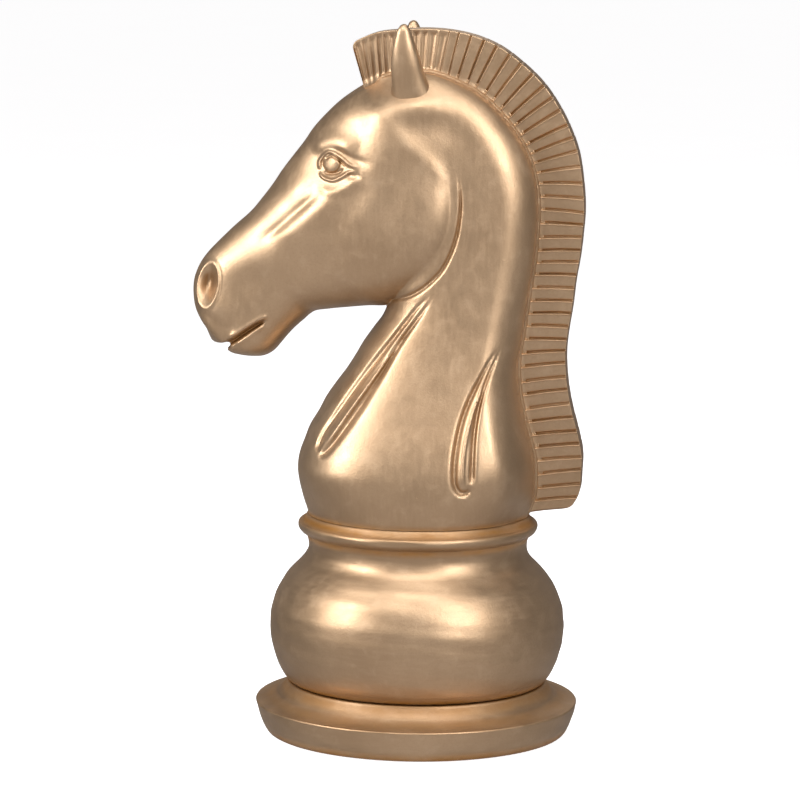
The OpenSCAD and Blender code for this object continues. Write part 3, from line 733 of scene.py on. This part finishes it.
class Nodes:
    """A material's node tree with short ways to add to it."""

    def __init__(self, name):
        self.mat = bpy.data.materials.new(name)
        self.mat.use_nodes = True
        self.tree = self.mat.node_tree
        self.shader = self.tree.nodes["Principled BSDF"]
        self.place = self.add("ShaderNodeTexCoord").outputs["Object"]

    def add(self, kind, **values):
        node = self.tree.nodes.new(kind)
        for key, value in values.items():
            setattr(node, key, value)
        return node

    def link(self, source, target):
        self.tree.links.new(source, target)

    def value(self, target, source):
        if hasattr(source, "links"):
            self.link(source, target)
        else:
            target.default_value = source

    def math(self, kind, a, b=0.0):
        node = self.add("ShaderNodeMath", operation=kind)
        self.value(node.inputs[0], a)
        self.value(node.inputs[1], b)
        return node.outputs[0]

    def remap(self, a, low, high, to_low=0.0, to_high=1.0):
        node = self.add("ShaderNodeMapRange", interpolation_type="SMOOTHSTEP")
        self.value(node.inputs["Value"], a)
        for key, v in (("From Min", low), ("From Max", high), ("To Min", to_low), ("To Max", to_high)):
            node.inputs[key].default_value = v
        return node.outputs["Result"]

    def stretch(self, scale, turn=(0, 0, 0)):
        node = self.add("ShaderNodeMapping")
        node.inputs["Scale"].default_value = scale
        node.inputs["Rotation"].default_value = [math.radians(t) for t in turn]
        self.link(self.place, node.inputs["Vector"])
        return node.outputs["Vector"]

    def noise(self, scale, detail=3.0, rough=0.55, where=None, warp=0.0):
        node = self.add("ShaderNodeTexNoise")
        node.inputs["Scale"].default_value = scale
        node.inputs["Detail"].default_value = detail
        node.inputs["Roughness"].default_value = rough
        node.inputs["Distortion"].default_value = warp
        self.link(where or self.place, node.inputs["Vector"])
        return node.outputs["Fac"]

    def cells(self, scale):
        node = self.add("ShaderNodeTexVoronoi")
        node.inputs["Scale"].default_value = scale
        self.link(self.place, node.inputs["Vector"])
        return node.outputs["Distance"]

    def mix(self, share, a, b):
        node = self.add("ShaderNodeMix", data_type="RGBA")
        self.value(node.inputs["Factor"], share)
        for key, v in ((6, a), (7, b)):
            if hasattr(v, "links"):
                self.link(v, node.inputs[key])
            else:
                node.inputs[key].default_value = (*v, 1)
        return node.outputs[2]

    def bump(self, height, strength, distance, before=None):
        node = self.add("ShaderNodeBump")
        node.inputs["Strength"].default_value = strength
        node.inputs["Distance"].default_value = distance
        self.link(height, node.inputs["Height"])
        if before is not None:
            self.link(before, node.inputs["Normal"])
        return node.outputs["Normal"]

    def finish(self, colour, rough, normal, metallic=0.0, **extra):
        self.value(self.shader.inputs["Base Color"], colour)
        self.value(self.shader.inputs["Roughness"], rough)
        self.value(self.shader.inputs["Metallic"], metallic)
        self.link(normal, self.shader.inputs["Normal"])
        for key, v in extra.items():
            self.shader.inputs[key.replace("_", " ")].default_value = v
        return self.mat


# Paint, and the brown of patina and painted shade in hollows, as linear colours
GOLD = (0.51, 0.347, 0.21)
GOLD_PALE = (0.61, 0.44, 0.29)
GOLD_DEEP = (0.40, 0.262, 0.15)
PATINA_AND_SHADE = (0.29, 0.13, 0.024)
DARK_PITS_AND_SHADE = (0.15, 0.068, 0.02)


def gold_paint(name, brushed, patina_and_shade_bands=(), reach=0.010):
    """Brushed-on metallic paint, browner in hollows that are narrower than reach, in metres: partly patina,
    partly painted shade.

    Bands are (height, half width, strength), in millimetres, where patina and painted shade brown the paint
    all round.
    """
    n = Nodes(name)
    clouds = n.noise(9, 4, 0.6)
    speckle = n.noise(620, 3, 0.7)
    fine = n.noise(85, 4, 0.6, warp=0.4)
    streaks = n.noise(1, 2, 0.6, where=n.stretch(*brushed))
    colour = n.mix(n.remap(clouds, 0.3, 0.7), GOLD_DEEP, GOLD)
    colour = n.mix(n.remap(streaks, 0.4, 0.8, 0, 0.16), colour, GOLD_PALE)
    colour = n.mix(n.remap(speckle, 0.45, 0.7, 0, 0.35), colour, GOLD_DEEP)
    colour = n.mix(n.remap(fine, 0.5, 0.72, 0, 0.25), colour, GOLD_PALE)
    # The ambient occlusion below browns the paint in hollows: partly the patina of the real paint, partly
    # painted shade.
    ao = n.add("ShaderNodeAmbientOcclusion", samples=8)
    ao.inputs["Distance"].default_value = reach
    hollow = n.remap(ao.outputs["AO"], 0.38, 0.8, 1, 0)
    if patina_and_shade_bands:
        z = n.add("ShaderNodeSeparateXYZ")
        n.link(n.place, z.inputs[0])
        height = z.outputs["Z"]
        for at, half, strength in patina_and_shade_bands:
            off = n.math("ABSOLUTE", n.math("SUBTRACT", height, at * MM))
            band = n.remap(off, 0, half * MM, strength, 0)
            hollow = n.math("MAXIMUM", hollow, band)
    patina_and_shade = n.math("MULTIPLY", hollow, n.remap(n.noise(24, 4, 0.65), 0.3, 0.6, 0.5, 1.0))
    colour = n.mix(patina_and_shade, colour, PATINA_AND_SHADE)
    # Painted shade: the deepest hollows and the joins between parts turn dark brown; the same brown also
    # colours the real pinhole pits below.
    deep = n.remap(ao.outputs["AO"], 0.15, 0.5, 0.8, 0)
    colour = n.mix(deep, colour, DARK_PITS_AND_SHADE)
    specks = n.remap(n.cells(480), 0.05, 0.12, 1, 0)
    rare = n.remap(n.noise(60, 2), 0.64, 0.7)
    pits = n.math("MULTIPLY", specks, rare)
    colour = n.mix(n.math("MULTIPLY", pits, 0.5), colour, DARK_PITS_AND_SHADE)
    rough = n.math("ADD", n.remap(streaks, 0.3, 0.7, 0.40, 0.45), n.math("MULTIPLY", patina_and_shade, 0.2))
    rough = n.math("ADD", rough, n.remap(fine, 0.3, 0.7, -0.03, 0.04))
    normal = n.bump(streaks, 0.045, 0.0004)
    normal = n.bump(n.noise(48, 3, 0.55, warp=0.3), 0.07, 0.0012, normal)
    normal = n.bump(speckle, 0.3, 0.0004, normal)
    normal = n.bump(n.math("MULTIPLY", pits, -1), 0.5, 0.0005, normal)
    return n.finish(colour, rough, normal, n.remap(patina_and_shade, 0, 1, 0.9, 0.6),
                    Coat_Weight=0.3, Coat_Roughness=0.34)


def rubber():
    n = Nodes("black_rubber")
    grain = n.noise(700, 3)
    dust = n.noise(30, 4)
    colour = n.mix(n.remap(dust, 0.45, 0.75, 0, 0.6), (0.012, 0.012, 0.013), (0.05, 0.047, 0.043))
    return n.finish(colour, n.remap(dust, 0.3, 0.7, 0.7, 0.88), n.bump(grain, 0.35, 0.0003))


def plastic():
    n = Nodes("dark_plastic")
    grain = n.noise(1100, 2)
    wear = n.noise(18, 4)
    colour = n.mix(n.remap(wear, 0.4, 0.7), (0.022, 0.022, 0.024), (0.036, 0.035, 0.034))
    return n.finish(colour, n.remap(wear, 0.3, 0.7, 0.42, 0.56), n.bump(grain, 0.22, 0.0002))


def steel():
    n = Nodes("zinc_steel")
    grain = n.noise(1, 3, 0.6, where=n.stretch((900, 900, 120)))
    spangle = n.cells(260)
    colour = n.mix(n.remap(spangle, 0.1, 0.6), (0.5, 0.5, 0.49), (0.64, 0.64, 0.65))
    return n.finish(colour, n.remap(grain, 0.3, 0.7, 0.26, 0.42), n.bump(grain, 0.12, 0.0001), 1.0)


def sand():
    n = Nodes("ballast_sand")
    grain = n.cells(900)
    patch = n.noise(40, 4)
    colour = n.mix(n.remap(patch, 0.35, 0.65), (0.42, 0.31, 0.19), (0.6, 0.48, 0.33))
    colour = n.mix(n.remap(grain, 0.2, 0.6, 0.4, 0), colour, (0.16, 0.11, 0.07))
    return n.finish(colour, n.remap(patch, 0.3, 0.7, 0.85, 0.96), n.bump(grain, 0.8, 0.0006))


def paint(ob, material):
    ob.data.materials.clear()
    ob.data.materials.append(material)


# ---------------------------------------------------------------- the object

left, right = head_halves(head_relief())
mane = mane_object()
ear_l, ear_r = ear_object("ear_near", -1), ear_object("ear_far", 1)
foot, bulb, collar = base_objects()

made = [
    (left, "head", "head_shell_left"), (right, "head", "head_shell_right"), (mane, "head", "mane_comb"),
    (ear_l, "head", "ear_left"), (ear_r, "head", "ear_right"), (foot, "base", "foot_flange"),
    (bulb, "base", "bulb_shell"), (collar, "base", "collar_ring"),
]
# Each paint browns its hollows, partly with patina and partly with painted shade; the bands add the same
# brown at the head's joint with the collar and in the base's grooves, cove and collar dish.
head_gold = gold_paint("gold_paint_head", ((420, 300, 60), (0, 28, 0)),
                       ((JOINT_Z, 4.5, 0.9),), reach=0.008)
mane_gold = gold_paint("gold_paint_mane", ((300, 300, 420), (0, 40, 0)), reach=0.0022)
base_gold = gold_paint("gold_paint_base", ((60, 60, 480), (0, 0, 0)),
                       ((25, 5, 0.6), (33, 8, 0.75), (38.5, 5, 1.0), (141, 4.5, 0.9), (153.6, 5, 1.0)))
for ob, body, node in made:
    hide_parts(node)
    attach(ob, body)
    paint(ob, base_gold if body == "base" else mane_gold if ob is mane else head_gold)

finishes = {"rubber": rubber(), "plastic": plastic(), "steel": steel(), "sand": sand()}
CARRIED = {
    "base_pad": "rubber", "plug_seal": "rubber", "neck_gasket": "rubber", "base_cover": "plastic",
    "filler_plug": "plastic", "socket_cup": "plastic", "neck_spigot": "plastic", "cover_screws": "steel",
    "body_bolts": "steel", "collar_bolts": "steel", "spigot_screws": "steel", "shell_dowels": "steel",
    "mane_pins": "steel", "ballast": "sand",
}
for node, finish in CARRIED.items():
    paint(bpy.data.objects[node], finishes[finish])


# ---------------------------------------------------------------- studio

def floor():
    bm = bmesh.new()
    bmesh.ops.create_grid(bm, x_segments=24, y_segments=24, size=40)
    me = bpy.data.meshes.new("floor")
    bm.to_mesh(me)
    bm.free()
    ob = link_object("floor", me)
    n = Nodes("pale_floor")
    soft = n.noise(3, 3)
    colour = n.mix(n.remap(soft, 0.3, 0.7), (0.84, 0.84, 0.845), (0.86, 0.86, 0.865))
    glow = {"Emission_Color": (1, 1, 1, 1), "Emission_Strength": 0.8}
    paint(ob, n.finish(colour, 0.6, n.bump(n.noise(160, 2), 0.03, 0.0002), **glow))
    ob.visible_glossy = False


AIM_HEIGHT = 0.24


def softbox(name, azimuth, elevation, distance, size, watts):
    """Rectangular lamp at a distance in metres; azimuth 0 is straight in front, from -Y."""
    light = bpy.data.lights.new(name, "AREA")
    light.shape, light.size, light.size_y = "RECTANGLE", size[0], size[1]
    light.energy = watts
    ob = link_object(name, light)
    a, e = math.radians(azimuth), math.radians(elevation)
    back = Vector((math.sin(a) * math.cos(e), -math.cos(a) * math.cos(e), math.sin(e)))
    ob.location = Vector((0, 0, AIM_HEIGHT)) + back * distance
    ob.rotation_euler = (-back).to_track_quat("-Z", "Y").to_euler()


def surroundings():
    """Dim grey room, lighter towards -Y and low down."""
    world = bpy.data.worlds.new("studio")
    bpy.context.scene.world = world
    world.use_nodes = True
    tree = world.node_tree
    place = tree.nodes.new("ShaderNodeTexCoord")
    parts = tree.nodes.new("ShaderNodeSeparateXYZ")
    tree.links.new(place.outputs["Generated"], parts.inputs[0])
    total = tree.nodes.new("ShaderNodeMath")
    glows = (("Y", 0.25, -0.85, 0.13, 0.42), ("Z", 0.0, -0.8, 0, 0.25))
    for i, (axis, dark, bright, low, high) in enumerate(glows):
        reach = tree.nodes.new("ShaderNodeMapRange")
        reach.interpolation_type = "SMOOTHSTEP"
        tree.links.new(parts.outputs[axis], reach.inputs["Value"])
        for key, v in (("From Min", dark), ("From Max", bright), ("To Min", low), ("To Max", high)):
            reach.inputs[key].default_value = v
        tree.links.new(reach.outputs["Result"], total.inputs[i])
    tree.links.new(total.outputs[0], tree.nodes["Background"].inputs["Strength"])
    tree.nodes["Background"].inputs["Color"].default_value = (1, 0.97, 0.98, 1)


def camera():
    cam = bpy.data.cameras.new("camera")
    cam.lens, cam.sensor_width = 166.6, 36  # millimetres
    cam.clip_end = 200
    ob = link_object("camera", cam)
    ob.location = (0.2356, -2.5893, 0.606)
    turn, pitch, roll = math.radians(5.5), 0.1408, 0.0096
    forward = Vector((-math.sin(turn) * math.cos(pitch), math.cos(turn) * math.cos(pitch), -math.sin(pitch)))
    aim = forward.to_track_quat("-Z", "Y")
    ob.rotation_mode = "QUATERNION"
    ob.rotation_quaternion = aim @ Quaternion((0, 0, 1), roll)
    bpy.context.scene.camera = ob


floor()
surroundings()
softbox("left_front", -60, 28, 2.1, (0.7, 1.2), 36)
softbox("right_front", 44, 28, 2.3, (0.8, 1.2), 31)
softbox("top", 4, 62, 2.0, (1.5, 0.8), 22)
softbox("behind", 176, 42, 2.6, (1.6, 1.0), 9)
camera()
bpy.context.scene.view_settings.view_transform = "Standard"
